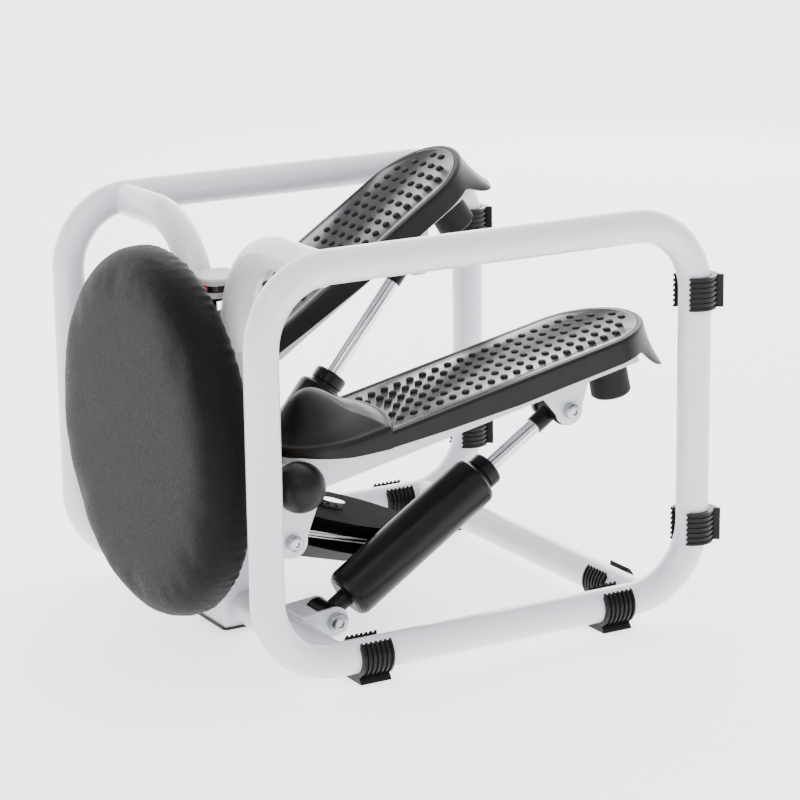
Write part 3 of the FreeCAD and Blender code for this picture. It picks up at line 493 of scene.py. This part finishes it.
def pedal_hood(side):
    """Domed toe moulding, closed behind by the lip that the toes stop against."""
    matrix = pedal_matrix(side)
    corner_y = HOOD_C + math.sqrt(HOOD_R ** 2 - (HALF + 0.3) ** 2)
    right_corner = math.atan2(corner_y - 48.0, HALF)
    spans = ((right_corner, math.pi - right_corner, 48), (math.pi - right_corner, TAU + right_corner, 120))
    angles = [a + (b - a) * k / n for a, b, n in spans for k in range(n)]
    reach = [hood_edge(a) for a in angles]
    rim = 5.0
    rows = []
    levels = [0.0001] + [k / 22 for k in range(1, 23)]
    for share in levels:
        row = []
        for a, far in zip(angles, reach):
            r = (far - rim) * share
            x, y = r * math.cos(a), 48.0 + r * math.sin(a)
            row.append((x, y, hood_height(x, y, share)))
        rows.append(row)
    for k in range(1, 8):
        turn = math.radians(90 * k / 7)
        row = []
        for a, far in zip(angles, reach):
            r = far - rim + rim * math.sin(turn)
            x, y = r * math.cos(a), 48.0 + r * math.sin(a)
            edge_r = far - rim
            top = hood_height(edge_r * math.cos(a), 48.0 + edge_r * math.sin(a), 1.0)
            back = math.sin(a) > 0 and y > corner_y - 1.0 and abs(x) < HALF - 0.05
            soft = 2.2 if back else rim
            row.append((x, y, top - soft * (1 - math.cos(turn))))
        rows.append(row)
    last = rows[-1]
    for level in (0.35, 0.7, 1.0):
        row = []
        for x, y, z in last:
            back = y > corner_y - 0.05
            low = TREAD - 1.4 if back else skirt_low(y) - 0.15
            row.append((x, y, z + (low - z) * level))
        rows.append(row)
    inner = []
    for x, y, z in rows[-1]:
        length = math.hypot(x, y - 48.0)
        pull = (length - 2.8) / length
        inner.append((x * pull, 48.0 + (y - 48.0) * pull, z))
    rows.append(inner)
    rows.append([(x, y, TREAD - 2.0) for x, y, _ in inner])
    verts = [v for row in rows for v in row]
    count = len(angles)
    faces = ring_faces(len(rows), count)
    faces.append(tuple(range(count)))
    return piece("pedal_hood_" + side, verts, faces, "black_plastic", "pedal_" + side, matrix=matrix, auto=42)


def tread(side):
    """Tread mat with a rounded rim, kept behind the hood's arc."""
    matrix = pedal_matrix(side)
    arc_r = HOOD_R + 0.3

    def kept(x, y):
        """Push a point of the plan back behind the hood's arc."""
        edge = HOOD_C + math.sqrt(arc_r ** 2 - x ** 2)
        return (x, max(y, edge))
    verts, faces = [], []
    outline = []
    r = HALF - 5.25
    for k in range(65):
        a = math.pi * k / 64
        outline.append((r * math.cos(a), HEEL_C + r * math.sin(a)))
    for k in range(1, 33):
        x = -r + 2 * r * k / 33
        outline.append(kept(x, 0.0))
    outline.insert(65, kept(-r, 0.0))
    outline.append(kept(r, 0.0))
    middle = (0.0, 210.0)

    def pulled(p, by):
        d = Vector((p[0] - middle[0], 0.0)) if abs(p[1] - middle[1]) < 60 else Vector((p[0], p[1] - middle[1]))
        length = d.length or 1.0
        return (p[0] - d.x / length * by, p[1] - d.y / length * by)
    count = len(outline)
    rows = [[(x, y, TREAD - 1.4) for x, y in outline], [(x, y, TREAD - 0.4) for x, y in outline],
            [(*pulled(p, 0.5), TREAD + 0.15) for p in outline],
            [(*pulled(p, 1.6), TREAD + 0.15) for p in outline], [(*pulled(p, 2.1), TREAD - 0.25) for p in outline]]
    for row in rows:
        verts += row
    faces += ring_faces(len(rows), count)
    faces.append(tuple(range(4 * count, 5 * count)))
    return piece("tread_" + side, verts, faces, "tread_plastic", "pedal_" + side, matrix=matrix, auto=50)


def tread_ovals(side):
    """Low oval studs with matt tops, in straight rows over the mat."""
    matrix = pedal_matrix(side)
    verts, faces = [], []
    r = HALF - 5.25
    arc_r = HOOD_R + 0.3
    pitch_x, pitch_y = 14.0, 12.6
    top = TREAD - 0.3
    rings, around = ((1.0, 0.0), (0.96, 0.75), (0.86, 1.15), (0.5, 1.35)), 20
    y = HEEL_C + r - 10.0
    while y > 86.0:
        for k in range(-4, 4):
            x = (k + 0.5) * pitch_x
            clear_heel = math.hypot(x, max(y - HEEL_C, 0.0)) < r - 6.5
            clear_hood = math.hypot(x, y - HOOD_C) > arc_r + 6.0
            if clear_heel and clear_hood and abs(x) < r - 5.0:
                start = len(verts)
                for scale, rise in rings:
                    for j in range(around):
                        a = TAU * j / around
                        verts.append((x + 3.9 * scale * math.cos(a), y + 3.3 * scale * math.sin(a), top + rise))
                verts.append((x, y, top + 1.4))
                for i in range(len(rings) - 1):
                    for j in range(around):
                        a, b = start + i * around + j, start + i * around + (j + 1) % around
                        faces.append((a, b, b + around, a + around))
                last = start + (len(rings) - 1) * around
                for j in range(around):
                    faces.append((last + j, last + (j + 1) % around, len(verts) - 1))
        y -= pitch_y
    made = piece("tread_ovals_" + side, verts, faces, "tread_plastic", "pedal_" + side, matrix=matrix, auto=50)
    # The studs get the darker material, which is painted shade on their faces
    made.data.materials[0] = SHADED_STUD_PAINT
    return made


for side in SIDE:
    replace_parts(pedal_base(side), "pedal_shell_" + side)
    pedal_hood(side)
    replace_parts(tread(side), "tread_mat_" + side)
    tread_ovals(side)



# ------------------------------------------------------------------ bolt heads
def bolt_cap(name, body, matrix, centre, radius, way):
    """Domed head with a hexagon socket, on the flat of a CAD bolt head; sizes in mm."""
    around = 48
    rows = []
    for r, rise in ((radius, 0.0), (radius, 0.5), (radius - 0.5, 1.2), (radius * 0.66, 1.9)):
        rows.append([(rise, r * math.cos(TAU * k / around), r * math.sin(TAU * k / around)) for k in range(around)])
    flat = radius * 0.42
    for rise in (1.9, 0.3):
        row = []
        for k in range(around):
            a = TAU * k / around
            r = flat / math.cos((a % (TAU / 6)) - TAU / 12)
            row.append((rise, r * math.cos(a), r * math.sin(a)))
        rows.append(row)
    verts = [(centre[0] + way * x, centre[1] + y, centre[2] + z) for row in rows for x, y, z in row]
    faces = ring_faces(len(rows), around)
    faces.append(tuple(range((len(rows) - 1) * around, len(rows) * around)))
    return piece(name, verts, faces, "zinc_steel", body, matrix=matrix, auto=35)


def bolt_caps():
    for side, way in SIDE.items():
        matrix = pedal_matrix(side)
        bolt_cap("lever_bolt_head_" + side, "pedal_" + side, matrix, (way * 27.0, -10.0, -49.0), 6.6, way)
        bolt_cap("ear_bolt_head_" + side, "pedal_" + side, matrix, (way * 27.0, 266.0, -33.0), 6.6, way)
        eye = Vector(joints["damper_%s_hinge" % side]["pos_m"])
        scaled = Matrix.Translation(eye) @ Matrix.Scale(MM, 4)
        bolt_cap("eye_bolt_head_" + side, "frame", scaled, (way * 24.5, 0.0, 0.0), 8.3, way)


bolt_caps()


# ------------------------------------------------------------------ seat
def seat():
    """Round foam pad in stretched vinyl, fixed behind round the board."""
    low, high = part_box("seat_cushion")
    cx, cz = (low.x + high.x) / 2, (low.z + high.z) / 2
    radius = (high.x - low.x) / 2 - 0.0022
    front, back = low.y + 0.003, high.y
    shoulder = 0.0215
    profile = [(0.0, front), (radius * 0.3, front), (radius * 0.6, front), (radius - shoulder, front)]
    for k in range(1, 9):
        a = math.radians(90 * k / 8)
        profile.append((radius - shoulder + shoulder * math.sin(a), front + shoulder * (1 - math.cos(a))))
    profile += [(radius, back - 0.012), (radius - 0.001, back - 0.006)]
    profile += [(radius - 0.004, back - 0.0015), (radius - 0.010, back), (radius - 0.03, back), (radius * 0.5, back), (0.0, back)]
    around = 96
    verts, faces = [(cx, profile[0][1], cz)], []
    for r, y in profile[1:-1]:
        for k in range(around):
            a = TAU * k / around
            verts.append((cx + r * math.cos(a), y, cz + r * math.sin(a)))
    verts.append((cx, profile[-1][1], cz))
    rows = len(profile) - 2
    faces += [tuple(1 + i for i in f) for f in ring_faces(rows, around)]
    for k in range(around):
        faces.append((0, 1 + k, 1 + (k + 1) % around))
        base = 1 + (rows - 1) * around
        faces.append((len(verts) - 1, base + k, base + (k + 1) % around))
    pad = piece("seat_pad", verts, faces, "vinyl", "frame")
    inflate(pad, back)
    gather(pad, Vector((cx, 0, cz)), radius, front, back)
    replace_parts(pad, "seat_cushion")
    return pad


def inflate(pad, back):
    """Short cloth run under pressure with the back held, its travel capped, then applied."""
    pad.parent = None
    remesh = pad.modifiers.new("even", "REMESH")
    remesh.mode = "VOXEL"
    remesh.voxel_size = 0.005
    bpy.context.view_layer.objects.active = pad
    bpy.context.view_layer.update()
    apply_modifier(pad)
    mesh = pad.data
    start = [v.co.copy() for v in mesh.vertices]
    held = pad.vertex_groups.new(name="held")
    held.add([v.index for v in mesh.vertices if v.co.y > back - 0.004], 1.0, "REPLACE")
    cloth = pad.modifiers.new("cloth", "CLOTH")
    settings = cloth.settings
    settings.vertex_group_mass = "held"
    settings.use_pressure = True
    settings.uniform_pressure_force = 4.0
    settings.tension_stiffness = 25
    settings.compression_stiffness = 25
    settings.bending_stiffness = 2.0
    settings.effector_weights.gravity = 0.0
    cloth.point_cache.frame_start, cloth.point_cache.frame_end = 1, 20
    scene = bpy.context.scene
    for step in range(1, 21):
        scene.frame_set(step)
    shaped = pad.evaluated_get(bpy.context.evaluated_depsgraph_get())
    moved = [v.co.copy() for v in shaped.data.vertices]
    pad.modifiers.clear()
    scene.frame_set(1)
    cap = 0.0034
    shifts = []
    for before, after in zip(start, moved):
        shift = after - before
        shifts.append(shift * min(1.0, cap / max(shift.length, 1e-9)))
    # Stretched tight over the foam: only the broad shape and a trace of the creases stay
    links = [[] for _ in start]
    for edge in pad.data.edges:
        a, b = edge.vertices
        links[a].append(b)
        links[b].append(a)
    broad = shifts
    for _ in range(14):
        broad = [sum((broad[j] for j in near), broad[i]) / (len(near) + 1) for i, near in enumerate(links)]
    for vertex, before, wide, fine in zip(pad.data.vertices, start, broad, shifts):
        vertex.co = before + wide * 0.82 + fine * 0.18
    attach(pad, "frame")


def apply_modifier(obj):
    """Bake the modifiers into the mesh."""
    shaped = obj.evaluated_get(bpy.context.evaluated_depsgraph_get())
    mesh = bpy.data.meshes.new_from_object(shaped)
    obj.modifiers.clear()
    obj.data = mesh


def gather(pad, centre, radius, front, back):
    """Fine pleats where the vinyl is drawn over the rear edge, then one subdivision."""
    finer = pad.modifiers.new("finer", "SUBSURF")
    finer.levels = finer.render_levels = 1
    apply_modifier(pad)
    mesh = pad.data
    normals = [v.normal.copy() for v in mesh.vertices]
    for vertex, normal in zip(mesh.vertices, normals):
        d = vertex.co - centre
        angle = math.atan2(d.z, d.x)
        reach = math.hypot(d.x, d.z) / radius
        share = smooth_step(vertex.co.y, back - 0.017, back - 0.002) * smooth_step(reach, 0.86, 0.96)
        wave = math.sin(angle * 83 + 1.3 * math.sin(angle * 7)) * (0.6 + 0.4 * math.sin(angle * 19 + 2))
        slow = 0.35 * math.sin(angle * 11 + 0.7) * smooth_step(reach, 0.9, 1.0)
        vertex.co += normal * (0.0006 * wave * share + 0.0005 * slow * (1 - share))
    for polygon in mesh.polygons:
        polygon.use_smooth = True


seat()
